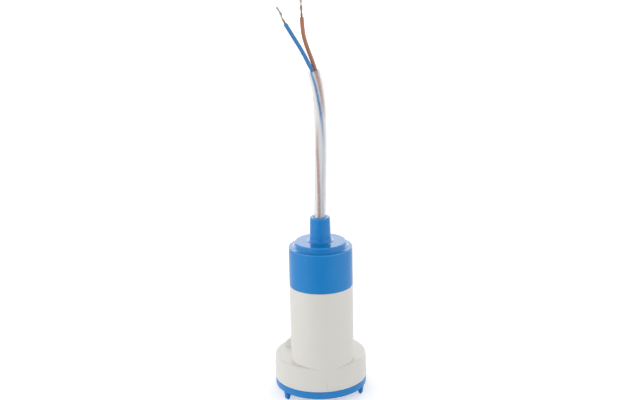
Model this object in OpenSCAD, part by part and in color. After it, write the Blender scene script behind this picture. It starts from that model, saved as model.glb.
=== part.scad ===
// Submersible water pump for a caravan tank: a motor tube stands on a wider pump drum, flush with
// it at the front. A blue cap with the cable outlet closes the tube, a blue strainer base with
// three feet closes the drum, and the hose spigot rises from the ledge behind the tube.
// Millimetres, +Z up. The origin is the drum's centre on the plane that the feet stand on, the
// front is towards -Y, and the motor's axis is in front of the drum's centre.

/* [Drum] */
// Outer diameter of the pump drum
drum_d = 56; // [50:0.5:64]
// Height of the drum's wall, from the base joint up to the ledge
drum_h = 15.1; // [14:0.1:20]
// Thickness of the drum's wall
drum_wall = 2.4; // [1.8:0.1:3]
// Thickness of the ledge that closes the drum
ledge_t = 2.8; // [1.8:0.1:3]
// Round on the ledge's outer rim
rim_round = 1.4; // [0.4:0.1:1.6]
// How far the tube's front lies behind the drum's front
flush_step = 0.05; // [0.05:0.05:0.6]
// Round on the edges of the drum's and the cap's joints
joint_round = 0.25; // [0.1:0.05:0.3]

/* [Base] */
// Height of the blue base ring
ring_h = 4.8; // [4.4:0.1:7]
// Round on the ring's lower edge
ring_round = 0.9; // [0.3:0.1:1.4]
// Thickness of the strainer floor
floor_t = 2.4; // [1.8:0.1:3]
// Height of the rim that plugs into the drum
plug_h = 4.2; // [3.6:0.1:5]
// Wall of that rim
plug_wall = 2.6; // [2.4:0.1:3.2]
// Thickness of the O-ring round the rim
o_ring_d = 1.4; // [1.2:0.1:1.6]
// Height of the O-ring's groove
groove_h = 1.8; // [1.7:0.1:2.2]
// Number of inlet slots
slot_count = 8; // [5:1:9]
// Width of an inlet slot
slot_w = 1.6; // [1.2:0.1:1.8]
// Distance from the motor's axis to the slots' inner ends
slot_inner = 3.2; // [3:0.1:5]
// Distance from the motor's axis to the slots' outer ends
slot_outer = 9; // [8:0.1:12]
// Number of feet
foot_count = 3; // [3:1:6]
// Height of a foot
foot_h = 4.4; // [4.2:0.1:8]
// Thickness of a foot
foot_t = 2.4; // [1.6:0.1:4]
// Length of a foot along the radius where it meets the ring
foot_root_l = 4.2; // [3.2:0.1:6]
// Length of a foot along the radius at its tip
foot_tip_l = 1.7; // [1.4:0.1:3]
// Draft of a foot's outer edge
foot_draft = 0.5; // [0:0.1:1]
// Chamfer round a foot's tip
foot_chamfer = 0.35; // [0.2:0.05:0.5]
// How far a foot stands inside the ring's outer face
foot_inset = 0.3; // [0.2:0.1:1]

/* [Tube] */
// Room between the motor can and the tube's bore, which the ribs bridge
motor_room = 1.4; // [1:0.1:3]
// Height of the tube that shows, from the ledge to the cap's edge
tube_h = 47.4; // [47:0.1:60]
// Height of the neck that goes up into the cap
neck_h = 9; // [6:0.1:12]
// Wall of the neck
neck_wall = 1.9; // [1.4:0.1:2.2]
// Number of ribs that centre the motor
rib_count = 6; // [4:1:10]
// Height of a rib above the motor's seat
rib_h = 29; // [20:1:34]
// Width of a rib
rib_w = 1.6; // [1:0.1:2.4]
// Wall of the bosses and of the ring that carry the motor
boss_wall = 1.7; // [1.2:0.1:1.9]

/* [Cap] */
// Height of the cap from its edge to the shoulder
cap_h = 24; // [23.5:0.1:32]
// Wall of the cap round the neck
cap_wall = 1.6; // [1.2:0.1:2]
// Thickness of the cap's top
cap_top_t = 2.2; // [1.6:0.1:3]
// Width of the shoulder round the raised disc
shoulder_w = 3.85; // [3:0.05:5]
// Round on the shoulder's edge
shoulder_round = 0.5; // [0.2:0.1:0.6]
// Radius of the hollow where the disc rises from the shoulder
cove_r = 2.3; // [1:0.1:2.4]
// Height of the raised disc
disc_h = 3.1; // [2.9:0.1:5]
// Round on the disc's edge
disc_round = 0.4; // [0.2:0.1:0.4]
// Diameter of the cable outlet at its foot
gland_foot_d = 12.5; // [12.2:0.1:15]
// Diameter of the cable outlet at its top
gland_top_d = 11.8; // [11.2:0.1:12]
// Height of the cable outlet above the disc
gland_h = 15; // [12:0.1:20]
// Hollow round the foot of the cable outlet
gland_cove = 2.2; // [1:0.1:3]
// Round on the mouth of the cable outlet
gland_round = 0.6; // [0.3:0.1:0.8]
// Length of the narrow mouth above the cable seal
mouth_l = 6; // [4:0.1:8]

/* [Outlet] */
// Diameter of the barbs, for a hose of the same bore
spigot_d = 10; // [9.5:0.1:11]
// Bore of the spigot
spigot_bore = 7; // [6:0.1:7.4]
// Height of the spigot above the ledge
spigot_h = 28; // [28:0.1:36]
// Number of barbs
barb_count = 4; // [2:1:4]
// Height of one barb
barb_pitch = 4; // [3.4:0.1:4.2]
// Depth of a barb
barb_depth = 0.6; // [0.3:0.1:0.7]
// Height of the straight crest of a barb
barb_land = 0.9; // [0.5:0.1:1.4]
// Ledge left between the boss at the spigot's foot and the drum's edge
ledge_rim = 3.15; // [2:0.05:5]
// Wall of the boss at the spigot's foot
root_wall = 2.7; // [2:0.1:3]
// Round on the upper edge of that boss
root_round = 0.6; // [0.3:0.1:0.8]
// Angle that the outlet ramp covers round the drum
ramp_sweep = 54; // [40:1:60]
// Height that the ramp's flank rises to before the ramp itself starts
ramp_start_h = 2.8; // [1:0.1:3]
// Slope of that flank
ramp_rake = 45; // [30:1:80]
// How far the ramp's outer wall stays inside the boss at the spigot's foot
ramp_inset = 1; // [0.5:0.1:2]
// Slope of the ramp
ramp_slope = 17; // [10:1:18]

/* [Seals] */
// Thickness of the flat ring between neck and cap
cap_seal_t = 1; // [0.6:0.1:2]
// Outer diameter of the shaft seal
seal_d = 10; // [8.4:0.1:11]
// Height of the shaft seal
seal_h = 4; // [3:0.1:6]
// Thickness of the wall between shaft seal and motor
seal_web = 1; // [0.8:0.1:2]
// Wall of the cable seal's sleeve
sleeve_t = 1.2; // [0.8:0.1:1.2]
// Wall of the cable seal's flange
flange_w = 2.6; // [1:0.1:4]
// Thickness of the cable seal's flange
flange_t = 1.5; // [1:0.1:2.5]

/* [Motor] */
// Diameter of the motor can
can_d = 28; // [25:0.1:32]
// Length of the motor can
can_l = 36; // [36:0.1:39]
// Thickness of the can's sheet
can_t = 1; // [0.8:0.1:1.2]
// Depth of the bearing cup drawn into the can's floor
cup_h = 1.8; // [1.4:0.1:3]
// Diameter of the shaft
shaft_d = 3; // [2.5:0.1:3.4]
// Diameter of a bearing
bearing_d = 7; // [6:0.1:7.4]
// Length of a bearing
bearing_l = 3.6; // [3:0.1:3.8]
// Thickness of a magnet
magnet_t = 2; // [1.5:0.1:2.4]
// Length of a magnet
magnet_l = 22; // [16:0.5:23]
// Angle that a magnet covers
magnet_span = 125; // [90:1:150]
// Gap between the rotor and the magnets
air_gap = 0.5; // [0.4:0.05:1]
// Length of the rotor's stack of sheets
stack_l = 16; // [12:0.5:16.5]
// Number of rotor poles
pole_count = 5; // [3:2:5]
// How far the end turns of the winding stand beyond the slots
end_turn_lap = 0.25; // [0.1:0.05:0.4]
// Height of the winding beyond each end of the stack
end_turn_h = 3.4; // [2.6:0.1:3.4]
// Thickness of a rotor pole's tip
pole_tip_t = 1.3; // [0.8:0.1:1.5]
// Width of the mouth of a rotor slot
slot_mouth = 1.4; // [0.8:0.1:2]
// Diameter of the winding in a rotor slot
bundle_d = 4.1; // [3.4:0.1:4.2]
// Diameter of the commutator
commutator_d = 7.2; // [6.4:0.1:7.6]
// Height of the commutator's risers, which the winding is soldered to
riser_h = 0.8; // [0.5:0.1:1]
// How far the risers stand out from the commutator
riser_w = 0.8; // [0.4:0.1:1]
// Width of the slits between the commutator's bars
slit_w = 0.4; // [0.3:0.1:0.6]
// Depth of those slits
slit_depth = 0.7; // [0.4:0.1:0.9]
// Length of the commutator
commutator_l = 5.7; // [5:0.1:6]
// Length of a brush along the radius
brush_l = 2.6; // [2:0.1:2.8]
// Width of a brush
brush_w = 2.4; // [1.6:0.1:3]
// Height of a brush
brush_h = 3; // [2:0.1:3.2]
// Thickness of a brush spring
arm_t = 0.4; // [0.2:0.1:0.5]
// Thickness of a terminal
terminal_t = 0.6; // [0.4:0.1:0.8]
// Width of a terminal
terminal_w = 3; // [2:0.1:3]
// Height of a terminal above the end bell
terminal_h = 5; // [3:0.1:5.2]
// Thickness of the end bell's plate
bell_plate_t = 2.3; // [2:0.1:2.6]
// Thickness of the end bell's flange on the can
bell_flange_t = 1.6; // [1:0.1:1.8]
// Wall of the end bell's skirt and of its bearing boss
bell_wall = 1.4; // [1:0.1:1.5]
// Thread diameter of the motor screws
screw_d = 2.5; // [2:0.1:3]
// Diameter of a screw head
screw_head_d = 4.5; // [4:0.1:4.8]
// Height of a screw head
screw_head_h = 1.6; // [1.2:0.1:2]
// Circle that the motor screws lie on
screw_circle = 18; // [17.6:0.1:20]
// Thickness of a thrust washer
washer_t = 0.5; // [0.3:0.1:0.6]
// Width of a thrust washer's ring
washer_w = 1.3; // [0.8:0.1:1.6]

/* [Impeller] */
// Diameter of the impeller
impeller_d = 24; // [20:0.5:27]
// Number of vanes
vane_count = 6; // [4:1:8]
// Height of a vane
vane_h = 6; // [4:0.1:6.4]
// Thickness of a vane
vane_t = 1.4; // [1:0.1:2]
// Radius that the vanes are bent to
vane_bend = 9; // [8.2:0.1:11]
// Thickness of the impeller's plate
plate_t = 1.6; // [1:0.1:2]
// Diameter of the impeller's hub
hub_d = 7.2; // [6:0.1:8]
// Radius at which the vanes start, round the inlet eye
eye_r = 5.5; // [4.5:0.1:7]
// Wall of the hub below the shaft
hub_nose_t = 1.4; // [1:0.1:2]
// How far the hub ends above the lower edges of the vanes
hub_rise = 0.6; // [0:0.1:2]

/* [Cable] */
// Diameter of the clear outer sheath
sheath_d = 7; // [5.8:0.1:7.2]
// Diameter of a core over its insulation
core_d = 2.2; // [1.8:0.1:2.3]
// Diameter of the bare strands
strand_d = 1.1; // [0.8:0.1:1.4]
// Length of sheath in which the cores go once round each other
twist_pitch = 126; // [80:1:200]
// Length of bare wire on a terminal
solder_l = 2; // [1:0.1:2.4]
// Width of the cable tie
tie_w = 2.4; // [1.8:0.1:3]
// Thickness of the cable tie's strap
tie_t = 1; // [0.8:0.1:1.4]
// Width of the cable tie's head
tie_head_w = 3.6; // [3:0.1:5]
// Length of the cable tie's head
tie_head_l = 4.4; // [3:0.1:5]
// Height of the cable tie's head
tie_head_h = 3.2; // [3:0.1:4]

/* [Clearances] */
// Gap round a turning shaft
running_gap = 0.05; // [0.02:0.01:0.1]
// Gap round a piece that is pushed into another
fit_gap = 0.1; // [0.05:0.01:0.15]
// Gap between a brush and the commutator
brush_gap = 0.08; // [0.05:0.01:0.1]
// Gap round a piece that is pressed onto the shaft
press_gap = 0.02; // [0.01:0.01:0.03]
// Gap round the cable in the mouth of its outlet
mouth_gap = 0.45; // [0.2:0.05:0.8]
// Gap round the shaft where it goes through a wall
shaft_hole_gap = 0.7; // [0.4:0.1:1]
// Running gap between the vanes and the strainer floor
floor_gap = 0.8; // [0.5:0.1:1.2]
// Running gap between the impeller's hub and the shaft seal
hub_gap = 1.6; // [0.8:0.1:2]
// Gap between the two cores of the cable
core_gap = 0.2; // [0.1:0.05:0.3]
// Gap between the winding and the commutator
winding_gap = 0.8; // [0.5:0.1:1]
// Gap between a terminal and the end bell's skirt
terminal_gap = 0.8; // [0.4:0.1:2]
// Gap between the magnets and the end bell's skirt
magnet_gap = 1.2; // [0.5:0.1:1.6]

/* [Hidden] */
$fn = 72;
// How far a cut runs past the face that it cuts
cut = 0.5;
cable_sides = 12;
core_sides = 8;

drum_r = drum_d / 2;
can_r = can_d / 2;
shaft_r = shaft_d / 2;
bearing_r = bearing_d / 2;
seal_r = seal_d / 2;
spigot_r = spigot_d / 2;
commutator_r = commutator_d / 2;
sheath_r = sheath_d / 2;
core_r = core_d / 2;
impeller_r = impeller_d / 2;
screw_r = screw_d / 2;

// The tube takes its size from the motor in it: its bore, the neck in the cap, and the outside
bore_r = can_r + motor_room;
neck_r = bore_r + neck_wall;
tube_r = neck_r + fit_gap + cap_wall;

// The motor's axis lies this far in front of the drum's centre
motor_y = -(drum_r - tube_r - flush_step);

// Heights of the outer shells
base_z = foot_h + ring_h;
floor_z = foot_h + floor_t;
ledge_z = base_z + drum_h;
ceiling_z = ledge_z - ledge_t;
cap_z = ledge_z + tube_h;
shoulder_z = cap_z + cap_h;
disc_z = shoulder_z + disc_h;
mouth_z = disc_z + gland_h;

// Radii of the shells and of what they hold
chamber_r = drum_r - drum_wall;
plug_r = chamber_r - fit_gap;
disc_r = tube_r - shoulder_w;
sleeve_bore_r = sheath_r + fit_gap;
sleeve_r = sleeve_bore_r + sleeve_t;
pocket_r = sleeve_r + fit_gap;
mouth_r = sheath_r + mouth_gap;
cap_ceiling_z = shoulder_z - cap_top_t;
pocket_z = mouth_z - mouth_l;

// Heights along the motor, from its seat on the housing upwards
seat_z = ceiling_z + seal_h + seal_web + cup_h + fit_gap;
can_top_z = seat_z + can_l;
cup_r = bearing_r + press_gap + can_t;
front_bearing_z = seat_z - cup_h + can_t;
front_bearing_top_z = front_bearing_z + bearing_l;
bell_top_z = can_top_z + bell_flange_t;
bell_plate_z = bell_top_z - bell_plate_t;
rear_bearing_z = bell_plate_z;
bell_boss_z = rear_bearing_z + bearing_l + bell_wall;
commutator_top_z = rear_bearing_z - washer_t - 2 * running_gap;
commutator_z = commutator_top_z - commutator_l;
brush_z = commutator_z + commutator_l / 2;
stack_z = commutator_z - winding_gap - end_turn_h - stack_l;
magnet_z = stack_z + stack_l / 2 - magnet_l / 2;
magnet_r = can_r - can_t - fit_gap;
stack_r = magnet_r - magnet_t - air_gap;
bundle_mid_r = stack_r - pole_tip_t - bundle_d / 2;
bell_skirt_z = magnet_z + magnet_l + magnet_gap;
skirt_bore_r = can_r - can_t - bell_wall;
arm_x = commutator_r + brush_gap + brush_l;
terminal_x = arm_x + arm_t;
terminal_y = sqrt(pow(skirt_bore_r - terminal_gap, 2) - pow(terminal_x + terminal_t, 2)) - terminal_w;
terminal_top_z = bell_top_z + terminal_h;

// Heights along the impeller
vane_z = floor_z + floor_gap;
plate_z = vane_z + vane_h;
hub_foot_z = vane_z + hub_rise;
shaft_foot_z = hub_foot_z + hub_nose_t;
hub_top_z = ceiling_z - hub_gap;
shaft_top_z = rear_bearing_z + bearing_l - fit_gap;

// The spigot stands behind the tube, at the drum's back edge
spigot_top_z = ledge_z + spigot_h;
spigot_bore_r = spigot_bore / 2;
root_r = spigot_bore_r + root_wall;
spigot_y = drum_r - ledge_rim - root_r;
ramp_outer_r = spigot_y + root_r - ramp_inset;
ramp_inner_r = motor_y + tube_r - cut;
ramp_run = ramp_outer_r * sin(ramp_sweep);
flank_sweep = atan(ramp_start_h / tan(ramp_rake) / ramp_inner_r);
root_top_z = ledge_z + ramp_start_h + ramp_run * tan(ramp_slope);

// The motor screws hold the can's floor to the housing from the chamber's side
screw_head_r = screw_head_d / 2;
screw_pocket_z = ceiling_z + screw_head_h + fit_gap;

// Cable route: sideways from the motor's axis, and height above the gland's mouth.
// The blue and brown ends give a depth too, and their last points are the bare strands.
sheath_route = [
    [0, -30], [0, -16], [0, 0], [0.5, 12], [0.8, 24], [1.1, 36],
    [1.3, 48], [1.3, 58], [1.1, 67], [0.6, 73], [-0.3, 80], [-1.9, 87.2]
];
blue_free = [
    [-5.1, -0.9, 91.8], [-7.1, -1, 96], [-9.7, -1, 100.9], [-12.4, -1, 105.5], [-14.9, -1, 109.8],
    [-17.7, -1, 114.6]
];
blue_bare = [[-19.6, -1, 118.6], [-20.4, -1, 121], [-22.4, -1, 124.5]];
brown_free = [
    [-2.3, 0.9, 92], [-4.2, 1, 97.5], [-5.9, 1, 102.6], [-7.1, 1, 107.2], [-7.7, 1, 112],
    [-8, 1, 117.8]
];
brown_bare = [[-8.1, 1, 121], [-8.3, 1, 124.4], [-8.5, 1, 127.4]];
// The cores inside the cap, from the terminals up to the sheath, for the right-hand terminal
inner_free = [[6, 4.4, -37.6], [3.2, 1.4, -34]];
// Height above the mouth at which the blue core faces the front
blue_front_h = 68.8;
core_offset = core_r + core_gap / 2;
sheath_bore_r = (core_offset + core_r + fit_gap / 2) / cos(180 / cable_sides);

// Direction of the blue core from the sheath's centre at a height above the mouth
function twist(h) = 360 * (blue_front_h - h) / twist_pitch;
function sheath_point(q) = [q[0], 0, q[1]];
function core_point(p, side) = p + side * core_offset * [sin(twist(p[2])), -cos(twist(p[2])), 0];

sheath_path = [for (q = sheath_route) sheath_point(q)];
// Points of one wire from its terminal to its tip; side is 1 for blue and -1 for brown
terminal_end = [
    terminal_x + terminal_t / 2, terminal_y + terminal_w / 2, terminal_top_z - mouth_z + fit_gap
];
function mirrored(p, side) = [-side * p[0], p[1], p[2]];
function wire_path(side, free, bare) = concat(
    [mirrored(terminal_end, side)],
    [mirrored(terminal_end + [0, 0, solder_l], side)],
    [for (p = inner_free) mirrored(p, side)],
    [for (p = sheath_path) core_point(p, side)],
    free,
    bare
);
blue_path = wire_path(1, blue_free, blue_bare);
brown_path = wire_path(-1, brown_free, brown_bare);

// A tube or wire along points, from one index to another
function unit(v) = v / norm(v);
function heading(p, i) = unit(p[min(i + 1, len(p) - 1)] - p[max(i - 1, 0)]);
function ring(p, i, r, n) = let (t = heading(p, i), u = unit(cross([0, 1, 0], t)), v = cross(t, u))
    [for (k = [0 : n - 1]) p[i] + r * (u * cos(360 * k / n) + v * sin(360 * k / n))];
// Faces between ring a and ring b of n points, and a flat end on ring a
function band(a, b, n) = [
    for (k = [0 : n - 1])
        let (m = (k + 1) % n)
            each [[a * n + k, b * n + k, b * n + m], [a * n + k, b * n + m, a * n + m]]
];
function fan(a, n) = [for (k = [1 : n - 2]) [a * n, a * n + k, a * n + k + 1]];
function turned(faces) = [for (f = faces) [f[2], f[1], f[0]]];

module wire(p, from, to, r, n) {
    rings = to - from;
    polyhedron(
        points = [for (i = [from : to]) each ring(p, i, r, n)],
        faces = concat(
            [for (i = [0 : rings - 1]) each band(i, i + 1, n)],
            fan(0, n),
            turned(fan(rings, n))
        )
    );
}

module hose(p, r, bore, n) {
    last = len(p) - 1;
    inner = last + 1;
    polyhedron(
        points = concat(
            [for (i = [0 : last]) each ring(p, i, r, n)],
            [for (i = [0 : last]) each ring(p, i, bore, n)]
        ),
        faces = concat(
            [for (i = [0 : last - 1]) each band(i, i + 1, n)],
            [for (i = [0 : last - 1]) each turned(band(inner + i, inner + i + 1, n))],
            turned(band(0, inner, n)),
            band(last, inner + last, n)
        )
    );
}

// Corner of a profile: the arc's centre is at the origin and the corner points to +X +Y
module corner(r) {
    difference() {
        square([r + cut, r + cut]);
        circle(r);
    }
}

// Hollow in the angle between a floor along +X and a wall along +Y
module cove(r) {
    difference() {
        translate([-cut, -cut]) square([r + cut, r + cut]);
        translate([r, r]) circle(r);
    }
}

// Rectangle of a profile from radius r0 to r1 and from height z0 to z1
module slab(r0, r1, z0, z1) {
    translate([r0, z0]) square([r1 - r0, z1 - z0]);
}

// Cylinder about the motor's axis from z0 to z1
module post(r, z0, z1) {
    translate([0, motor_y, z0]) cylinder(r = r, h = z1 - z0);
}

module at_motor(z = 0) {
    translate([0, motor_y, z]) children();
}

module around(count, start = 0) {
    for (i = [0 : count - 1]) rotate([0, 0, start + 360 * i / count]) children();
}

module tube_ring(r0, r1, z0, z1) {
    at_motor() rotate_extrude() slab(r0, r1, z0, z1);
}

// Foot: a radial fin with an upright outer edge, a raked inner edge and a blunt tip
module foot() {
    outer = drum_r - foot_inset;
    tip_outer = outer - foot_draft;
    tip_inner = tip_outer - foot_tip_l;
    rotate([90, 0, 0])
        translate([0, 0, -foot_t / 2])
            linear_extrude(foot_t)
                polygon([
                    [outer - foot_root_l, foot_h + cut],
                    [outer - foot_root_l, foot_h],
                    [tip_inner, foot_chamfer],
                    [tip_inner + foot_chamfer, 0],
                    [tip_outer - foot_chamfer, 0],
                    [tip_outer, foot_chamfer],
                    [outer, foot_h],
                    [outer, foot_h + cut]
                ]);
}

// Inlet slot with round ends, along the radius from the motor's axis
module inlet_slot() {
    r = slot_w / 2;
    translate([0, 0, foot_h - cut])
        linear_extrude(floor_t + 2 * cut) {
            translate([slot_inner + r, 0]) circle(r);
            translate([slot_outer - r, 0]) circle(r);
            translate([slot_inner + r, -r]) square([slot_outer - slot_inner - slot_w, slot_w]);
        }
}

o_ring_z = base_z + plug_h / 2;
groove_r = chamber_r - o_ring_d;

module base_cover() {
    color("steelblue") {
        difference() {
            rotate_extrude()
                difference() {
                    union() {
                        slab(0, drum_r, foot_h, base_z);
                        slab(0, plug_r, base_z - cut, base_z + plug_h);
                    }
                    slab(-cut, plug_r - plug_wall, floor_z, base_z + plug_h + cut);
                    slab(groove_r, plug_r + cut, o_ring_z - groove_h / 2, o_ring_z + groove_h / 2);
                    translate([drum_r - ring_round, foot_h + ring_round])
                        mirror([0, 1]) corner(ring_round);
                    translate([drum_r - joint_round, base_z - joint_round]) corner(joint_round);
                }
            at_motor() around(slot_count) inlet_slot();
        }
        around(foot_count, 180 / foot_count - 90) foot();
    }
}

module base_o_ring() {
    mid = (groove_r + chamber_r) / 2;
    color("dimgray")
        translate([0, 0, o_ring_z])
            rotate_extrude() translate([mid, 0]) circle(o_ring_d / 2 - press_gap);
}

// Spigot with barbs that a hose slides onto from above
module spigot() {
    foot = spigot_r - barb_depth;
    translate([0, spigot_y, 0])
        rotate_extrude()
            polygon(concat(
                [[0, spigot_top_z]],
                [
                    for (i = [0 : barb_count - 1])
                        let (top = spigot_top_z - i * barb_pitch, low = top - barb_pitch)
                            each [[foot, top], [spigot_r, low + barb_land], [spigot_r, low]]
                ],
                [[foot, spigot_top_z - barb_count * barb_pitch]],
                [[foot, ceiling_z + cut], [0, ceiling_z + cut]]
            ));
}

// Everything below a plane that rises along +X by an angle, through the origin
module below(angle) {
    reach = 2 * drum_d;
    rotate([0, -angle, 0]) translate([-reach, -reach, -reach]) cube([2 * reach, 2 * reach, reach]);
}

// Ramp on the ledge that leads the water round to the spigot: a raked flank, then a slope
module outlet_ramp() {
    intersection() {
        translate([0, 0, ledge_z - cut])
            rotate([0, 0, 90])
                rotate_extrude(angle = ramp_sweep + flank_sweep)
                    slab(ramp_inner_r, ramp_outer_r, 0, root_top_z - ledge_z + cut);
        translate([-ramp_run, 0, ledge_z + ramp_start_h]) below(ramp_slope);
        translate([0, 0, ledge_z + ramp_start_h]) rotate([0, 0, ramp_sweep]) below(ramp_rake);
    }
    translate([0, spigot_y, 0])
        rotate_extrude()
            difference() {
                slab(0, root_r, ledge_z - cut, root_top_z);
                translate([root_r - root_round, root_top_z - root_round]) corner(root_round);
            }
}

// Hollow under the motor's seat: the seal boss, the screw bosses and stiffening ribs stay standing
module seat_hollow() {
    difference() {
        tube_ring(seal_r + boss_wall, bore_r - boss_wall, ledge_z, seat_z + cut);
        at_motor() around(2) translate([screw_circle / 2, 0, ledge_z - cut])
            cylinder(r = screw_r + boss_wall, h = seat_z - ledge_z + cut);
        at_motor() around(rib_count, 180 / rib_count) translate([0, -rib_w / 2, ledge_z - cut])
            cube([bore_r, rib_w, seat_z - ledge_z + cut]);
    }
}

module motor_bore() {
    difference() {
        post(bore_r, seat_z, cap_z + neck_h + cut);
        at_motor() around(rib_count, 180 / rib_count) translate([can_r + fit_gap, -rib_w / 2, seat_z - cut])
            cube([tube_r - can_r, rib_w, rib_h + cut]);
    }
}

module pump_housing() {
    color("linen")
        difference() {
            union() {
                rotate_extrude()
                    difference() {
                        slab(0, drum_r, base_z, ledge_z);
                        translate([drum_r - rim_round, ledge_z - rim_round]) corner(rim_round);
                        translate([drum_r - joint_round, base_z + joint_round])
                            mirror([0, 1]) corner(joint_round);
                    }
                at_motor()
                    rotate_extrude()
                        difference() {
                            slab(0, tube_r, ledge_z - drum_h / 2, cap_z);
                            translate([tube_r - joint_round, cap_z - joint_round]) corner(joint_round);
                        }
                post(neck_r, cap_z - cut, cap_z + neck_h);
                outlet_ramp();
                spigot();
            }
            translate([0, 0, base_z - cut]) cylinder(r = chamber_r, h = ceiling_z - base_z + cut);
            motor_bore();
            seat_hollow();
            post(seal_r + press_gap, ceiling_z - cut, ceiling_z + seal_h);
            post(shaft_r + shaft_hole_gap, ceiling_z, seat_z);
            post(cup_r + fit_gap, seat_z - cup_h - fit_gap, seat_z + cut);
            at_motor() around(2) translate([screw_circle / 2, 0, 0]) {
                translate([0, 0, ceiling_z - cut])
                    cylinder(r = screw_head_r + fit_gap, h = screw_pocket_z - ceiling_z + cut);
                translate([0, 0, ceiling_z]) cylinder(r = screw_r + fit_gap, h = seat_z - ceiling_z + cut);
            }
            translate([0, spigot_y, ceiling_z - cut])
                cylinder(r = spigot_bore_r, h = spigot_top_z - ceiling_z + 2 * cut);
        }
}

// Half outline of the cap's outside: skirt, shoulder, raised disc and cable outlet
module cap_outside() {
    foot = gland_foot_d / 2;
    top = gland_top_d / 2;
    difference() {
        slab(0, tube_r, cap_z, shoulder_z);
        translate([tube_r - shoulder_round, shoulder_z - shoulder_round]) corner(shoulder_round);
        translate([tube_r - joint_round, cap_z + joint_round]) mirror([0, 1]) corner(joint_round);
    }
    difference() {
        slab(0, disc_r, shoulder_z - cut, disc_z);
        translate([disc_r - disc_round, disc_z - disc_round]) corner(disc_round);
    }
    translate([disc_r, shoulder_z]) cove(cove_r);
    difference() {
        polygon([
            [0, disc_z - cut], [foot, disc_z - cut], [foot, disc_z + gland_cove],
            [top, mouth_z - gland_round], [top, mouth_z], [0, mouth_z]
        ]);
        translate([top - gland_round, mouth_z - gland_round]) corner(gland_round);
    }
    translate([foot, disc_z]) cove(gland_cove);
}

module top_cap() {
    color("dodgerblue")
        at_motor()
            rotate_extrude()
                difference() {
                    cap_outside();
                    slab(-cut, neck_r + fit_gap, cap_z - cut, cap_z + neck_h + cap_seal_t);
                    slab(-cut, bore_r, cap_z, cap_ceiling_z);
                    slab(-cut, pocket_r, cap_ceiling_z - cut, pocket_z);
                    slab(-cut, mouth_r, pocket_z - cut, mouth_z + cut);
                }
}

module cap_seal() {
    color("dimgray") tube_ring(bore_r + fit_gap, neck_r, cap_z + neck_h, cap_z + neck_h + cap_seal_t);
}

module cable_seal() {
    color("dimgray") {
        tube_ring(sleeve_bore_r, sleeve_r, cap_ceiling_z - flange_t, pocket_z - fit_gap);
        tube_ring(sleeve_r - cut, sleeve_r + flange_w, cap_ceiling_z - flange_t, cap_ceiling_z);
    }
}

// Cable tie round the sheath under the seal, which keeps the cable from being pulled out
module cable_tie() {
    top = cap_ceiling_z - flange_t - fit_gap;
    color("whitesmoke") {
        tube_ring(sleeve_bore_r, sleeve_bore_r + tie_t, top - tie_w, top);
        at_motor(top - tie_head_h) translate([-tie_head_w / 2, sleeve_bore_r + tie_t / 2, 0])
            cube([tie_head_w, tie_head_l, tie_head_h]);
    }
}

// Lip seal: a stiff outer ring, folded over at the top into a lip that leans onto the shaft.
// Its walls are shares of its own width and height.
module shaft_seal() {
    lip = shaft_r + running_gap;
    width = seal_r - lip;
    wall = width * 0.3;
    lean = lip + width * 0.2;
    root = lip + width * 0.45;
    lip_low = seal_h * 0.1;
    lip_high = seal_h * 0.3;
    fold = seal_h - wall;
    color("dimgray")
        at_motor(ceiling_z)
            rotate_extrude()
                polygon([
                    [seal_r, 0], [seal_r, seal_h], [lean, seal_h], [lean, fold],
                    [lip, lip_high], [lip, lip_low], [lean, lip_low],
                    [root, fold], [seal_r - wall, fold], [seal_r - wall, 0]
                ]);
}

module motor_can() {
    color("silver")
        difference() {
            union() {
                post(can_r, seat_z, can_top_z);
                post(cup_r, seat_z - cup_h, seat_z + cut);
            }
            post(can_r - can_t, seat_z + can_t, can_top_z + cut);
            post(bearing_r + press_gap, front_bearing_z, seat_z + 2 * can_t);
            post(shaft_r + shaft_hole_gap, seat_z - cup_h - cut, seat_z);
            at_motor() around(2) translate([screw_circle / 2, 0, seat_z - cut])
                cylinder(r = screw_r + press_gap, h = can_t + 2 * cut);
        }
}

// End bell: a plate with a skirt in the can, a boss for the rear bearing and slots for the terminals
module end_bell() {
    color("darkslategray")
        difference() {
            union() {
                post(can_r - can_t - press_gap, bell_skirt_z, bell_top_z - bell_flange_t / 2);
                post(can_r, can_top_z, bell_top_z);
                post(bearing_r + bell_wall, bell_plate_z, bell_boss_z);
            }
            post(skirt_bore_r, bell_skirt_z - cut, bell_plate_z);
            post(bearing_r + press_gap, bell_plate_z - cut, rear_bearing_z + bearing_l);
            at_motor() around(2) terminal_block(fit_gap, bell_plate_z - cut, bell_top_z + cut);
        }
}

module bearing(z) {
    color("darkgoldenrod") tube_ring(shaft_r + running_gap, bearing_r, z, z + bearing_l);
}

module front_bearing() {
    bearing(front_bearing_z);
}

module rear_bearing() {
    bearing(rear_bearing_z);
}

module magnets() {
    color("slategray")
        at_motor(magnet_z)
            around(2, 90 - magnet_span / 2)
                rotate_extrude(angle = magnet_span)
                    slab(magnet_r - magnet_t, magnet_r, 0, magnet_l);
}

// Brushes: carbon blocks with a hollow face that follows the commutator
module brushes() {
    color("black")
        at_motor(brush_z - brush_h / 2)
            around(2)
                difference() {
                    translate([0, -brush_w / 2, 0]) cube([arm_x, brush_w, brush_h]);
                    translate([0, 0, -cut]) cylinder(r = commutator_r + brush_gap, h = brush_h + 2 * cut);
                }
}

module brush_springs() {
    color("peru")
        at_motor(brush_z - brush_h / 2)
            around(2) translate([arm_x, -brush_w, 0])
                cube([arm_t, terminal_y + terminal_w + brush_w, brush_h]);
}

module terminal_block(gap, z0, z1) {
    translate([terminal_x - gap, terminal_y - gap, z0])
        cube([terminal_t + 2 * gap, terminal_w + 2 * gap, z1 - z0]);
}

module terminals() {
    color("gold") at_motor() around(2) terminal_block(0, brush_z - brush_h / 2, terminal_top_z);
}

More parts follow.
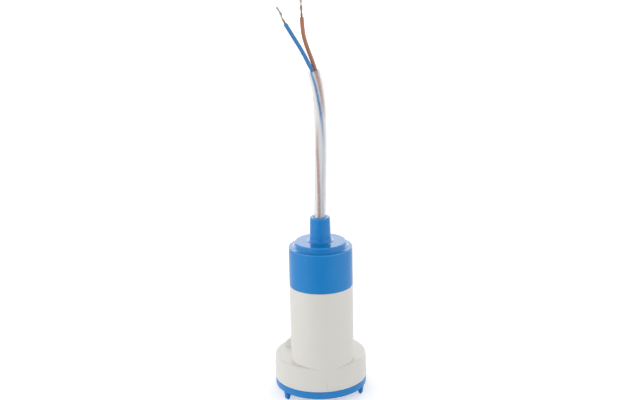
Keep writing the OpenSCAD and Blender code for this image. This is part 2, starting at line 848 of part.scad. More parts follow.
module motor_screws() {
    slot_depth = screw_head_h / 2;
    driver_w = screw_r / 2;
    color("lightsteelblue")
        at_motor()
            around(2)
                translate([screw_circle / 2, 0, 0])
                    difference() {
                        union() {
                            translate([0, 0, screw_pocket_z - screw_head_h])
                                cylinder(r = screw_head_r, h = screw_head_h);
                            translate([0, 0, screw_pocket_z - cut])
                                cylinder(r = screw_r, h = seat_z + can_t - screw_pocket_z + 2 * cut);
                        }
                        translate([-screw_head_r - cut, -driver_w / 2, screw_pocket_z - screw_head_h - cut])
                            cube([screw_head_d + 2 * cut, driver_w, slot_depth + cut]);
                    }
}

module motor_shaft() {
    color("lightgray") post(shaft_r, shaft_foot_z, shaft_top_z);
}

// One rotor slot with its narrow mouth
module rotor_slot() {
    translate([bundle_mid_r, 0]) circle(bundle_d / 2 + fit_gap);
    translate([bundle_mid_r, -slot_mouth / 2]) square([stack_r, slot_mouth]);
}

module rotor_core() {
    color("gray")
        at_motor(stack_z)
            linear_extrude(stack_l)
                difference() {
                    circle(stack_r);
                    circle(shaft_r + press_gap);
                    for (i = [0 : pole_count - 1]) rotate(360 * i / pole_count) rotor_slot();
                }
}

// Winding: one bundle in each slot, joined by the end turns above and below the stack
module rotor_windings() {
    half = end_turn_h / 2 - fit_gap;
    spread = bundle_d / 2 + end_turn_lap - half;
    color("orangered")
        at_motor(stack_z) {
            around(pole_count) translate([bundle_mid_r, 0, -end_turn_h / 2])
                cylinder(r = bundle_d / 2, h = stack_l + end_turn_h);
            for (z = [-end_turn_h / 2, stack_l + end_turn_h / 2])
                translate([0, 0, z])
                    rotate_extrude() {
                        slab(bundle_mid_r - spread, bundle_mid_r + spread, -half, half);
                        translate([bundle_mid_r - spread, 0]) circle(half);
                        translate([bundle_mid_r + spread, 0]) circle(half);
                    }
        }
}

module commutator() {
    color("chocolate")
        at_motor(commutator_z)
            difference() {
                rotate_extrude() {
                    slab(shaft_r + press_gap, commutator_r, 0, commutator_l);
                    slab(shaft_r + press_gap, commutator_r + riser_w, 0, riser_h);
                }
                around(pole_count, 180 / pole_count)
                    translate([commutator_r - slit_depth, -slit_w / 2, -cut])
                        cube([slit_depth + riser_w + cut, slit_w, commutator_l + 2 * cut]);
            }
}

module thrust_washers() {
    color("ivory")
        for (z = [front_bearing_top_z + running_gap, rear_bearing_z - running_gap - washer_t])
            tube_ring(shaft_r + press_gap, shaft_r + washer_w, z, z + washer_t);
}

// Vane: part of a bent strip, from the inlet eye out to the rim
module vane() {
    linear_extrude(vane_h + plate_t / 2)
        intersection() {
            difference() {
                circle(impeller_r - fit_gap);
                circle(eye_r);
            }
            translate([vane_bend, 0])
                difference() {
                    circle(vane_bend + vane_t / 2);
                    circle(vane_bend - vane_t / 2);
                }
            square(impeller_d);
        }
}

module impeller() {
    color("lightskyblue")
        at_motor()
            difference() {
                union() {
                    translate([0, 0, plate_z]) cylinder(r = impeller_r, h = plate_t);
                    translate([0, 0, hub_foot_z]) cylinder(r = hub_d / 2, h = hub_top_z - hub_foot_z);
                    translate([0, 0, vane_z]) around(vane_count) vane();
                }
                translate([0, 0, shaft_foot_z - press_gap])
                    cylinder(r = shaft_r + press_gap, h = hub_top_z - shaft_foot_z + cut);
            }
}

blue_ends = [1, len(blue_path) - len(blue_bare) - 1, len(blue_path) - 1];
brown_ends = [1, len(brown_path) - len(brown_bare) - 1, len(brown_path) - 1];

module cable_sheath() {
    color("gainsboro") at_motor(mouth_z) hose(sheath_path, sheath_r, sheath_bore_r, cable_sides);
}

module blue_core() {
    color("royalblue") at_motor(mouth_z) wire(blue_path, blue_ends[0], blue_ends[1], core_r, core_sides);
}

module brown_core() {
    color("sienna") at_motor(mouth_z) wire(brown_path, brown_ends[0], brown_ends[1], core_r, core_sides);
}

// Bare strands: the stripped tip of a core and its soldered end on the terminal
module bare_ends(path, ends) {
    color("silver")
        at_motor(mouth_z) {
            wire(path, ends[1], ends[2], strand_d / 2, core_sides);
            wire(path, 0, ends[0], strand_d / 2, core_sides);
        }
}

module blue_strands() {
    bare_ends(blue_path, blue_ends);
}

module brown_strands() {
    bare_ends(brown_path, brown_ends);
}

base_cover();
base_o_ring();
pump_housing();
top_cap();
cap_seal();
cable_seal();
cable_tie();
shaft_seal();
motor_can();
end_bell();
front_bearing();
rear_bearing();
magnets();
brushes();
brush_springs();
terminals();
motor_screws();
motor_shaft();
rotor_core();
rotor_windings();
commutator();
thrust_washers();
impeller();
cable_sheath();
blue_core();
brown_core();
blue_strands();
brown_strands();
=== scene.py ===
# %% [markdown]
# # A submersible water pump for a caravan tank
# The solids of the pump are built and packed already: drum, motor tube, cap, base, motor and cable.
# This lesson loads them as a fixed frame, sets up the camera, lays the cable, gives every piece the
# finish of the real plastic, metal or rubber, and then lights the pump on a white ground.

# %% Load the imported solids
import math
import random

import bmesh
import bpy
from mathutils import Matrix, Quaternion, Vector
from mathutils.geometry import interpolate_bezier


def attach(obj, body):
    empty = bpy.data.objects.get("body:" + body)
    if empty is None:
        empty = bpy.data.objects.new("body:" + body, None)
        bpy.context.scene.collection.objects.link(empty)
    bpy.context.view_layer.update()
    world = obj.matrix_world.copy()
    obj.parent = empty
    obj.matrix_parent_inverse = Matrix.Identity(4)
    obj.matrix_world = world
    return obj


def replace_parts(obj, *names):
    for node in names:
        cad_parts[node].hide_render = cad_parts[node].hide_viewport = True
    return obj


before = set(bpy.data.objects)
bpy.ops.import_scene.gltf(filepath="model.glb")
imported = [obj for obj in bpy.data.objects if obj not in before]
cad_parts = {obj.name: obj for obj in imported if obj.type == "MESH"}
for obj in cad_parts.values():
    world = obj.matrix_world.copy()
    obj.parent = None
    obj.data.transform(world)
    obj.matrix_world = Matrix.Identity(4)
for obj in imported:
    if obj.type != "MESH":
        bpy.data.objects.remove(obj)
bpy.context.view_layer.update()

MM = 0.001
scene = bpy.context.scene


def in_mm(point):
    """A point in millimetres, rounded for printing."""
    return [round(x / MM, 1) for x in point]


# %% [markdown]
# ## Camera
# The pump was photographed from about 16 degrees above and 8 degrees to its left, with a long lens,
# so its upright edges hardly converge. A camera can be pushed into place by eye. Here it is worked
# out from the point that it aims at, two angles, a distance and a small roll, so each can be read.

# %% Camera
AIM = Vector((0.26, -8.89, 123.89)) * MM
AZIMUTH, ELEVATION, ROLL = (math.radians(x) for x in (-8.0, 16.288, -1.12))
DISTANCE = 716.84 * MM
SENSOR_W, FOCAL_LENGTH = 36, 68.48  # a camera's settings are in millimetres already

to_camera = Vector((
    math.sin(AZIMUTH) * math.cos(ELEVATION),
    -math.cos(AZIMUTH) * math.cos(ELEVATION),
    math.sin(ELEVATION),
))
camera = bpy.data.objects.new("camera", bpy.data.cameras.new("camera"))
camera.data.sensor_width = SENSOR_W
camera.data.lens = FOCAL_LENGTH
camera.location = AIM + DISTANCE * to_camera
camera.rotation_mode = "QUATERNION"
camera.rotation_quaternion = (-to_camera).to_track_quat("-Z", "Y") @ Quaternion((0, 0, 1), ROLL)
scene.collection.objects.link(camera)
scene.camera = camera
print("camera in mm:", in_mm(camera.location))

# %% [markdown]
# ## The cable's route
# A clear sheath holds a blue and a brown core, which go slowly round each other inside it. Above
# the sheath they part, and the last few millimetres of each are stripped. The points below are the
# ones that the solids follow, measured from the mouth of the cable outlet. A smooth line through
# them is made of Bezier stretches, each with handles that lean along its neighbours.

# %% Route points, in millimetres from the mouth of the cable outlet
MOUTH = Vector((0, -8.95, 113.8))
SHEATH = [  # to the right and up
    (0, -29), (0, -16), (0, 0), (0.5, 12), (0.8, 24), (1.1, 36),
    (1.3, 48), (1.3, 58), (1.1, 67), (0.6, 73), (-0.3, 80), (-1.9, 87.2),
]
SHEATH_FOOT = (0, -30)  # the cores come together just below the sheath
BLUE_FREE = [
    (-5.1, -0.9, 91.8), (-7.1, -1, 96), (-9.7, -1, 100.9),
    (-12.4, -1, 105.5), (-14.9, -1, 109.8), (-17.7, -1, 114.6),
]
BLUE_BARE = [(-19.6, -1, 118.6), (-20.4, -1, 121), (-22.4, -1, 124.5)]
BROWN_FREE = [
    (-2.3, 0.9, 92), (-4.2, 1, 97.5), (-5.9, 1, 102.6),
    (-7.1, 1, 107.2), (-7.7, 1, 112), (-8, 1, 117.8),
]
BROWN_BARE = [(-8.1, 1, 121), (-8.3, 1, 124.4), (-8.5, 1, 127.4)]
TERMINAL = Vector((6.98, 6.48, -42.7))  # of the brown core; the blue one is its mirror image
SOLDER_L = 2.0
INNER_FREE = [(6, 4.4, -37.6), (3.2, 1.4, -34)]
# Height at which the blue core lies in front, height of a full turn, and a core's distance from the
# middle of the sheath
BLUE_FRONT_H, TWIST_PITCH, CORE_OFFSET = 68.8, 126.0, 1.2


def in_frame(point):
    """A point of the route in the frame of the solids, in metres."""
    return (MOUTH + Vector(point)) * MM


def blue_side(height):
    """Direction from the sheath's centre to the blue core; the brown one is opposite."""
    turn = 2 * math.pi * (BLUE_FRONT_H - height) / TWIST_PITCH
    return Vector((math.sin(turn), -math.cos(turn), 0))


print("route points:", len(SHEATH), "in the sheath,", len(BLUE_FREE), "on each free core")

# %% Smooth lines through the points
SHEATH_STEPS, CORE_STEPS = 8, 5  # on each stretch from one point to the next


def ways_along(points):
    """The direction at each point, from the neighbours on its two sides."""
    last = len(points) - 1
    pairs = [(points[max(i - 1, 0)], points[min(i + 1, last)]) for i in range(last + 1)]
    return [(after - before).normalized() for before, after in pairs]


def smooth(points, steps):
    """A smooth line through the points, with that many steps on each stretch."""
    ways = ways_along(points)
    line = []
    for i, (a, b) in enumerate(zip(points, points[1:])):
        third = (b - a).length / 3
        handles = (a + third * ways[i], b - third * ways[i + 1])
        line += interpolate_bezier(a, *handles, b, steps + 1)[:-1]
    return line + [points[-1]]


def core_line(side, free):
    """A core from its terminal to where it is stripped; side is 1 for blue and -1 for brown."""
    flip = Vector((-side, 1, 1))
    ends = [TERMINAL + Vector((0, 0, SOLDER_L)), *map(Vector, INNER_FREE)]
    inside = [
        Vector((x, 0, h)) + side * CORE_OFFSET * blue_side(h)
        for x, h in [SHEATH_FOOT, *SHEATH[1:]]
    ]
    return [in_frame(p * flip) for p in ends] + [in_frame(p) for p in [*inside, *free]]


def line_length(line):
    return sum((b - a).length for a, b in zip(line, line[1:]))


sheath_line = smooth([in_frame((x, 0, h)) for x, h in SHEATH], SHEATH_STEPS)
blue_line = smooth(core_line(1, BLUE_FREE), CORE_STEPS)
brown_line = smooth(core_line(-1, BROWN_FREE), CORE_STEPS)
for name, line in (("sheath", sheath_line), ("blue core", blue_line), ("brown core", brown_line)):
    print(name, "length in mm:", round(line_length(line) / MM, 1), "points:", len(line))

# %% [markdown]
# ## A tube along a line
# Sheath, cores and strands are all drawn or pressed through a round die. A curve with a bevel gives
# such a tube, but then its wall can't be hollow and nothing can be painted on it. So one circle is
# extruded from ring to ring, and each ring is carried along the line by a turn that never rolls
# about the line.

# %% Sweep a circle along a line
def places_along(line):
    """One matrix for each point: its place, with Z along the line and no roll."""
    ways = ways_along(line)
    turn = Vector((0, 0, 1)).rotation_difference(ways[0])
    places = []
    for i, way in enumerate(ways):
        turn = (ways[max(i - 1, 0)].rotation_difference(way)) @ turn
        places.append(Matrix.Translation(line[i]) @ turn.to_matrix().to_4x4())
    return places


def sweep(bm, line, radii, sides, paint=None):
    """Extrudes a circle along the line and returns its first and last loop of edges."""
    places = [m @ Matrix.Scale(r, 4) for m, r in zip(places_along(line), radii)]
    ring = bmesh.ops.create_circle(bm, segments=sides, radius=1, matrix=places[0])["verts"]
    loop = list({e for v in ring for e in v.link_edges})
    first = loop
    for i, place in enumerate(places):
        if i:
            grown = bmesh.ops.extrude_edge_only(bm, edges=loop)["geom"]
            ring = [g for g in grown if isinstance(g, bmesh.types.BMVert)]
            loop = [g for g in grown if isinstance(g, bmesh.types.BMEdge)]
            bmesh.ops.transform(bm, matrix=place @ places[i - 1].inverted(), verts=ring)
        if paint:
            paint(ring, i)
    return first, loop


print("sweep is ready")

# %% Turn a bmesh into a piece
SHARP_ANGLE = math.radians(40)


def close_ends(bm, loops):
    for loop in loops:
        bmesh.ops.edgeloop_fill(bm, edges=loop)


def finish_piece(bm, name):
    """Turns the bmesh into a smooth-shaded piece that rides on the pump's fixed body."""
    bmesh.ops.recalc_face_normals(bm, faces=bm.faces)
    for face in bm.faces:
        face.smooth = True
    mesh = bpy.data.meshes.new(name)
    bm.to_mesh(mesh)
    bm.free()
    mesh.set_sharp_from_angle(angle=SHARP_ANGLE)
    piece = bpy.data.objects.new(name, mesh)
    scene.collection.objects.link(piece)
    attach(piece, "pump") or piece
    print(name, "faces:", len(mesh.polygons))
    return piece


# %% [markdown]
# ## Clear sheath
# The sheath is soft clear PVC with a little haze. A core shows in full colour only along the line
# where it touches the wall; where it lies deeper, the haze turns it to a pale shadow. Two numbers
# on every vertex say how closely the blue and the brown core touch there, and the material mixes
# its colour by them. They come from tables of where that line runs and how tightly the core lies.

# %% Where the cores touch the sheath
# Height in millimetres, degrees to the right of the front, half of the line's width in degrees, and
# how closely the core touches there
BLUE_TOUCH = [
    (-30, 20, 16, 0.35), (3, 22, 16, 0.35), (14, 15, 16, 0.25), (39, 26, 16, 0.16),
    (46, 24, 14, 0.28), (51, 19, 13, 0.45), (57, 10, 13, 0.6), (63, -2, 13, 0.85),
    (69, -13, 13, 0.9), (88, -38, 13, 0.9),
]
BROWN_TOUCH = [
    (-30, -12, 15, 0.8), (3, -16, 15, 0.75), (14, -23, 15, 0.7), (27, -31, 15, 0.72),
    (39, -44, 16, 0.7), (49, -46, 16, 0.5), (57, -43, 15, 0.08), (58, 38, 15, 0),
    (63, 34, 15, 0.4), (69, 25, 15, 0.66), (88, 15, 22, 0.72),
]
SOFT_EDGE = 7  # degrees
FAR_SHARE = 0.4  # how much of a core shows through from the far side


def read_table(table, at):
    """Straight-line reading between the table's rows: all columns but the first."""
    for (a, *low), (b, *high) in zip(table, table[1:]):
        if at <= b:
            share = max(0, at - a) / (b - a)
            return [x + (y - x) * share for x, y in zip(low, high)]
    return table[-1][1:]


def touch(away, table, height):
    """1 where the core touches; a part of it on the far side, where the core shows more faintly."""
    angle, half, strength = read_table(table, height)
    off = abs(math.degrees(math.atan2(away.x, -away.y)) - angle)
    off = min(off, 360 - off)
    near, far = ((half + SOFT_EDGE - x) / (2 * SOFT_EDGE) for x in (off, 180 - off))
    return strength * max(0, min(1, near), FAR_SHARE * min(1, far))


print("rows for blue and brown:", len(BLUE_TOUCH), len(BROWN_TOUCH))

# %% Clear sheath
SHEATH_R, SHEATH_BORE_R, SHEATH_SIDES = 3.5 * MM, 2.45 * MM, 64

bm = bmesh.new()
blue_layer = bm.verts.layers.float.new("blue_touch")
brown_layer = bm.verts.layers.float.new("brown_touch")


def paint_touch(ring, i):
    centre = sheath_line[i]
    height = centre.z / MM - MOUTH.z
    for v in ring:
        v[blue_layer] = touch(v.co - centre, BLUE_TOUCH, height)
        v[brown_layer] = touch(v.co - centre, BROWN_TOUCH, height)


walls = [
    sweep(bm, sheath_line, [r] * len(sheath_line), SHEATH_SIDES, paint_touch)
    for r in (SHEATH_R, SHEATH_BORE_R)
]
for outer, inner in zip(*walls):
    bmesh.ops.bridge_loops(bm, edges=outer + inner)
clear_sheath = finish_piece(bm, "clear_sheath")
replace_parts(clear_sheath, "cable_sheath")

# %% [markdown]
# ## Stripped strands
# The tips are thin tinned copper wires, twisted by hand into a kinked bundle that opens a little at
# its end. Six thin tubes wind round a seventh in the middle. Their spread changes along the way,
# which makes the waists and gaps that a hand-twisted bundle has. At the other end, inside the cap,
# a drop of solder holds each core on its terminal. A number on each vertex runs from the cut to the
# tip, for the material to use.

# %% Strand bundles
STRAND_R, STRAND_SIDES, STRAND_STEPS = 0.22 * MM, 8, 9
STRAND_COUNT, STRAND_TURNS = 6, 1.7
# Share of the way from the cut to the tip, and the strands' distance from the middle in millimetres
SPREAD = [
    (0, 0.3), (0.2, 0.5), (0.34, 0.25), (0.5, 0.65),
    (0.64, 0.6), (0.76, 0.25), (0.88, 0.5), (1, 0.55),
]
SPREAD_LOW, SPREAD_HIGH = 0.8, 1.2  # each strand strays from that distance by a share of it
STOPS = 3  # a strand ends at one of the last three rings
DROP_R, DROP_SIDES = [0.42, 0.55, 0.55, 0.52, 0.48, 0.44, 0.42], 12
chance = random.Random(11)


def strand_bundle(name, node, wire_end, bare, terminal):
    """The stripped end of a core and its soldered end, as one piece."""
    bm = bmesh.new()
    layer = bm.verts.layers.float.new("bared")
    middle = smooth([wire_end, *(in_frame(p) for p in bare)], STRAND_STEPS)
    places = places_along(middle)
    last = len(middle) - 1

    def paint_bared(ring, i):
        for v in ring:
            v[layer] = i / last

    for k in range(STRAND_COUNT + 1):
        line = []
        for i, place in enumerate(places):
            share = i / last
            turn = 2 * math.pi * (k / STRAND_COUNT + STRAND_TURNS * share)
            out = 0
            if k < STRAND_COUNT:
                spread = read_table(SPREAD, share)[0] * MM
                out = spread * chance.uniform(SPREAD_LOW, SPREAD_HIGH)
            line.append(place @ Vector((out * math.cos(turn), out * math.sin(turn), 0)))
        stop = last + 1 - chance.randrange(0, STOPS)
        close_ends(bm, sweep(bm, line[:stop], [STRAND_R] * stop, STRAND_SIDES, paint_bared))
    rise = SOLDER_L * MM / (len(DROP_R) - 1)
    drop = [terminal + Vector((0, 0, rise * i)) for i in range(len(DROP_R))]
    close_ends(bm, sweep(bm, drop, [r * MM for r in DROP_R], DROP_SIDES))
    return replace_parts(finish_piece(bm, name), node)


blue_strands = strand_bundle(
    "blue_strand_bundle", "blue_strands", blue_line[-1], BLUE_BARE,
    in_frame(TERMINAL * Vector((-1, 1, 1))),
)
brown_strands = strand_bundle(
    "brown_strand_bundle", "brown_strands", brown_line[-1], BROWN_BARE, in_frame(TERMINAL),
)

# %% [markdown]
# ## Cores
# Each core is a copper strand in a jacket of soft coloured PVC, cut off square with a knife. The
# cut squeezes the jacket, so its rim is a little narrower than the rest. The sweep takes a radius
# for each ring, and the last ring gives that rim.

# %% Blue and brown core
CORE_R, CORE_SIDES = 1.18 * MM, 20
CUT_RIM = 0.96  # radius of the squeezed rim, as a share of the core's


def core_piece(name, node, line):
    bm = bmesh.new()
    radii = [CORE_R] * (len(line) - 1) + [CUT_RIM * CORE_R]
    close_ends(bm, sweep(bm, line, radii, CORE_SIDES))
    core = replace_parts(finish_piece(bm, name), node)
    return core


blue_wire = core_piece("blue_wire", "blue_core", blue_line)
brown_wire = core_piece("brown_wire", "brown_core", brown_line)

# %% [markdown]
# ## Building materials
# Every finish below is a small tree of nodes on the piece's own Object coordinates, so it stays in
# place on the pump. Two helpers do most of the work: one turns a hex colour into the linear numbers
# that shaders use, the other adds a node and connects it.

# %% Colour and node helpers
SHARE, FIRST, SECOND, MIXED = 0, 6, 7, 2  # a Mix node's colour sockets: three go in, one comes out


def linear(code):
    """An sRGB hex colour as linear red, green, blue and alpha."""
    parts = [int(code[i : i + 2], 16) / 255 for i in (1, 3, 5)]
    return [c / 12.92 if c <= 0.04045 else ((c + 0.055) / 1.055) ** 2.4 for c in parts] + [1]


def add(tree, kind, sockets, **settings):
    """Adds one node. Each socket gets another node's output or a plain value."""
    node = tree.nodes.new("ShaderNode" + kind)
    for name, value in settings.items():
        setattr(node, name, value)
    for socket, value in sockets.items():
        if isinstance(value, bpy.types.NodeSocket):
            tree.links.new(value, node.inputs[socket])
        else:
            node.inputs[socket].default_value = value
    return node


print("white in linear numbers:", linear("#FFFFFF"))

# %% Helpers for a whole finish
def new_finish(name, **values):
    """A material with a Principled shader, whose plain values are set on its own sockets."""
    material = bpy.data.materials.new(name)
    material.use_nodes = True
    shader = material.node_tree.nodes["Principled BSDF"]
    for socket, value in values.items():
        shader.inputs[socket.replace("_", " ")].default_value = value
    return material, material.node_tree, shader


def per_mm(size):
    """The scale at which a pattern repeats about every size millimetres."""
    return 1 / (size * MM)


def wear(node, material):
    """Gives a CAD node its finish."""
    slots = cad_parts[node].data.materials
    slots.clear()
    slots.append(material)
    print(material.name, "on", node)


# %% [markdown]
# ## Moulded plastic
# Moulded plastic is never quite flat. It has a slow ripple from shrinking, which bends the
# reflections, faint flow clouds in the colour, and a fine grain from the mould in the gloss. A
# picture could hold them, but noise of a real size needs no file and fits any piece.

# %% Moulded plastic
# The real grain of about 0.1 mm is too fine for the picture, so it is drawn at 0.8 mm
GRAIN_MM = 0.8
NOISE_LOW, NOISE_HIGH = 0.3, 0.7  # nearly all values of a noise lie between these
GLOSS_LOW, GLOSS_HIGH = 0.85, 1.2  # a pattern moves the roughness between these shares of it


def moulded(name, colour, shade, roughness, ior, ripple_mm, ripple_height_mm, cloud_mm):
    """Moulded plastic: flow clouds in the colour, a slow ripple and a fine grain in the gloss."""
    material, tree, shader = new_finish(name, IOR=ior)
    place = add(tree, "TexCoord", {}).outputs["Object"]
    clouds = add(tree, "TexNoise", {"Vector": place, "Scale": per_mm(cloud_mm), "Detail": 3})
    ripple = add(tree, "TexNoise", {"Vector": place, "Scale": per_mm(ripple_mm), "Detail": 1})
    grain = add(tree, "TexNoise", {"Vector": place, "Scale": per_mm(GRAIN_MM), "Detail": 2})
    tint = add(tree, "Mix", {
        SHARE: clouds.outputs[0], FIRST: linear(colour), SECOND: linear(shade),
    }, data_type="RGBA").outputs[MIXED]
    gloss = add(tree, "MapRange", {
        "Value": grain.outputs[0], "From Min": NOISE_LOW, "From Max": NOISE_HIGH,
        "To Min": GLOSS_LOW * roughness, "To Max": GLOSS_HIGH * roughness,
    })
    bump = add(tree, "Bump", {"Height": ripple.outputs[0], "Distance": ripple_height_mm * MM})
    tree.links.new(tint, shader.inputs["Base Color"])
    tree.links.new(gloss.outputs[0], shader.inputs["Roughness"])
    tree.links.new(bump.outputs[0], shader.inputs["Normal"])
    return material, tree, shader, tint


print("grain drawn at", GRAIN_MM, "mm")

# %% [markdown]
# ## Blue moulded ABS
# Cap and base are injection-moulded ABS from a polished mould: an even, saturated blue under a
# glossy skin. A highlight is painted in a paler blue along the cap's three round edges. A vertex
# colour could hold that painted highlight, but here it is the distance from each edge, measured in
# the plane of radius and height, that fades it in.

# %% Blue ABS
# Radius and height of the edges of shoulder, disc and cable outlet, in millimetres, where a
# highlight is painted in paler blue
HIGHLIGHT_EDGES = [(19, 95.7), (15.15, 98.8), (5.9, 113.8)]
HIGHLIGHT_CORE, HIGHLIGHT_FADE, HIGHLIGHT_SHARE = 0.3, 1.0, 0.55
HIGHLIGHT_BLUE = "#36A2EE"

blue_abs, tree, shader, tint = moulded(
    "blue_moulded_abs", "#0E83CE", "#0B7FC8", roughness=0.16, ior=1.53,
    ripple_mm=9, ripple_height_mm=0.02, cloud_mm=14,
)
axes = add(tree, "SeparateXYZ", {0: add(tree, "TexCoord", {}).outputs["Object"]}).outputs
from_axis = add(tree, "Math", {0: axes["Y"], 1: MOUTH.y * MM}, operation="SUBTRACT").outputs[0]
across = add(tree, "CombineXYZ", {"X": axes["X"], "Y": from_axis}).outputs[0]
radius = add(tree, "VectorMath", {0: across}, operation="LENGTH").outputs["Value"]
section = add(tree, "CombineXYZ", {"X": radius, "Y": axes["Z"]}).outputs[0]
highlighted = tint
for edge_r, edge_z in HIGHLIGHT_EDGES:
    edge = Vector((edge_r, edge_z, 0)) * MM
    gap = add(tree, "VectorMath", {0: section, 1: edge}, operation="DISTANCE").outputs["Value"]
    # painted highlight: a paler blue fades in near each edge
    highlight_share = add(tree, "MapRange", {
        "Value": gap, "From Min": HIGHLIGHT_CORE * MM, "From Max": HIGHLIGHT_FADE * MM,
        "To Min": HIGHLIGHT_SHARE, "To Max": 0,
    }).outputs[0]
    highlighted = add(tree, "Mix", {
        SHARE: highlight_share, FIRST: highlighted, SECOND: linear(HIGHLIGHT_BLUE),
    }, data_type="RGBA").outputs[MIXED]
tree.links.new(highlighted, shader.inputs["Base Color"])
for node in ("top_cap", "base_cover"):
    wear(node, blue_abs)

# %% [markdown]
# ## Cream moulded ABS
# The housing is ABS too, but from a mould with a fine satin texture: warm off-white, with broad
# soft highlights. One mark of the mould shows on it: a short upright line on the drum's front,
# where two halves of the mould met. It could be a groove, but it is too shallow for that. So it is
# a thin band in Object coordinates that darkens the colour.

# %% Cream ABS
SEAM_X, SEAM_TOP_Z, SEAM_FADE = -0.1, 15.4, 0.3
SEAM_SHARE, SEAM_COLOUR = 0.12, "#4A4742"

cream_abs, tree, shader, tint = moulded(
    "cream_moulded_abs", "#E1DFDA", "#DEDBD5", roughness=0.33, ior=1.54,
    ripple_mm=6, ripple_height_mm=0.012, cloud_mm=18,
)
axes = add(tree, "SeparateXYZ", {0: add(tree, "TexCoord", {}).outputs["Object"]}).outputs
aside = add(tree, "Math", {0: axes["X"], 1: SEAM_X * MM}, operation="SUBTRACT").outputs[0]
aside = add(tree, "Math", {0: aside}, operation="ABSOLUTE").outputs[0]
seam = add(tree, "MapRange", {
    "Value": aside, "From Min": 0, "From Max": SEAM_FADE * MM, "To Min": SEAM_SHARE, "To Max": 0,
}).outputs[0]
for axis, limit in (("Z", SEAM_TOP_Z * MM), ("Y", 0)):
    within = add(tree, "Math", {0: axes[axis], 1: limit}, operation="LESS_THAN").outputs[0]
    seam = add(tree, "Math", {0: seam, 1: within}, operation="MULTIPLY").outputs[0]
marked = add(tree, "Mix", {
    SHARE: seam, FIRST: tint, SECOND: linear(SEAM_COLOUR),
}, data_type="RGBA").outputs[MIXED]
tree.links.new(marked, shader.inputs["Base Color"])
wear("pump_housing", cream_abs)

# %% [markdown]
# ## Cable plastics
# The jackets of the cores are soft PVC with a satin skin. The clear sheath is the same PVC without
# pigment, a little cloudy. Real clear plastic could be made with transmission, but then the hazy
# white between the cores would be lost. Here the haze is a pale colour that is partly see-through,
# and the two painted touch values turn it blue or brown where a core lies against the wall.

# %% PVC of the cores
for piece, name, colour, shade in (
    (blue_wire, "blue_soft_pvc", "#3A85C4", "#357DBA"),
    (brown_wire, "brown_soft_pvc", "#B57A5C", "#AD7356"),
):
    soft_pvc = moulded(
        name, colour, shade, roughness=0.4, ior=1.53,
        ripple_mm=3, ripple_height_mm=0.01, cloud_mm=5,
    )[0]
    piece.data.materials.append(soft_pvc)
    print(name, "on", piece.name)

# %% Clear PVC of the sheath
PATCH_MM = 2  # stuck and loose patches along a core make the edges of its line uneven
PATCH_LOW, PATCH_HIGH = 0.85, 1.1
HAZE = "#F6F6F8"

sheath_pvc, tree, shader = new_finish("clear_soft_pvc", IOR=1.53, Roughness=0.16, Alpha=0.68)
place = add(tree, "TexCoord", {}).outputs["Object"]
patches = add(tree, "TexNoise", {"Vector": place, "Scale": per_mm(PATCH_MM), "Detail": 3})
uneven = add(tree, "MapRange", {
    "Value": patches.outputs[0], "From Min": NOISE_LOW, "From Max": NOISE_HIGH,
    "To Min": PATCH_LOW, "To Max": PATCH_HIGH,
}).outputs[0]
mixed = linear(HAZE)
for attribute, colour in (("blue_touch", "#4C8AC4"), ("brown_touch", "#B07C64")):
    amount = add(tree, "Attribute", {}, attribute_name=attribute).outputs["Fac"]
    share = add(tree, "Math", {0: amount, 1: uneven}, operation="MULTIPLY", use_clamp=True)
    mixed = add(tree, "Mix", {
        SHARE: share.outputs[0], FIRST: mixed, SECOND: linear(colour),
    }, data_type="RGBA").outputs[MIXED]
tree.links.new(mixed, shader.inputs["Base Color"])
clear_sheath.data.materials.append(sheath_pvc)
print("clear_soft_pvc on", clear_sheath.name)

# %% [markdown]
# ## Tinned copper
# The strands are copper wires with a thin coat of tin. Near the jacket the tin is rubbed thin and
# the copper shows through; farther out it is pale grey, with dull patches. The painted number that
# runs from the cut to the tip mixes the two. A film of oxide scatters about half of the light, so
# only the other half is mirrored as a clean metal would.

# %% Tinned copper of the strands
TIN_FROM, TIN_FULL = 0.08, 0.22  # share of the way from the cut to the tip
DULL_MM, DULL_LOW, DULL_HIGH = 1.6, 0.4, 0.6
COPPER, TIN, DULL_TIN = "#86685B", "#ECE6E1", "#A89A93"

tinned, tree, shader = new_finish("tinned_copper_strand", Metallic=0.5, Roughness=0.45)
bared = add(tree, "Attribute", {}, attribute_name="bared").outputs["Fac"]
place = add(tree, "TexCoord", {}).outputs["Object"]
dull = add(tree, "TexNoise", {"Vector": place, "Scale": per_mm(DULL_MM), "Detail": 2})
worn = add(tree, "MapRange", {
    "Value": dull.outputs[0], "From Min": DULL_LOW, "From Max": DULL_HIGH,
})
tin_share = add(tree, "MapRange", {"Value": bared, "From Min": TIN_FROM, "From Max": TIN_FULL})
tin = add(tree, "Mix", {
    SHARE: worn.outputs[0], FIRST: linear(TIN), SECOND: linear(DULL_TIN),
}, data_type="RGBA").outputs[MIXED]
metal = add(tree, "Mix", {
    SHARE: tin_share.outputs[0], FIRST: linear(COPPER), SECOND: tin,
}, data_type="RGBA").outputs[MIXED]
tree.links.new(metal, shader.inputs["Base Color"])
for piece in (blue_strands, brown_strands):
    piece.data.materials.append(tinned)
    print("tinned_copper_strand on", piece.name)

# %% [markdown]
# ## Inside the pump
# The motor, seals and impeller are closed in, and show only through the inlet slots or when the
# pump is taken apart. They still get real finishes. Most differ only in colour, gloss and the kind
# of mark that their making leaves: specks in sintered or pressed powder, lines from drawing,
# grinding or stacking, and grain on moulded rubber. One table lists them, and one function reads
# it.

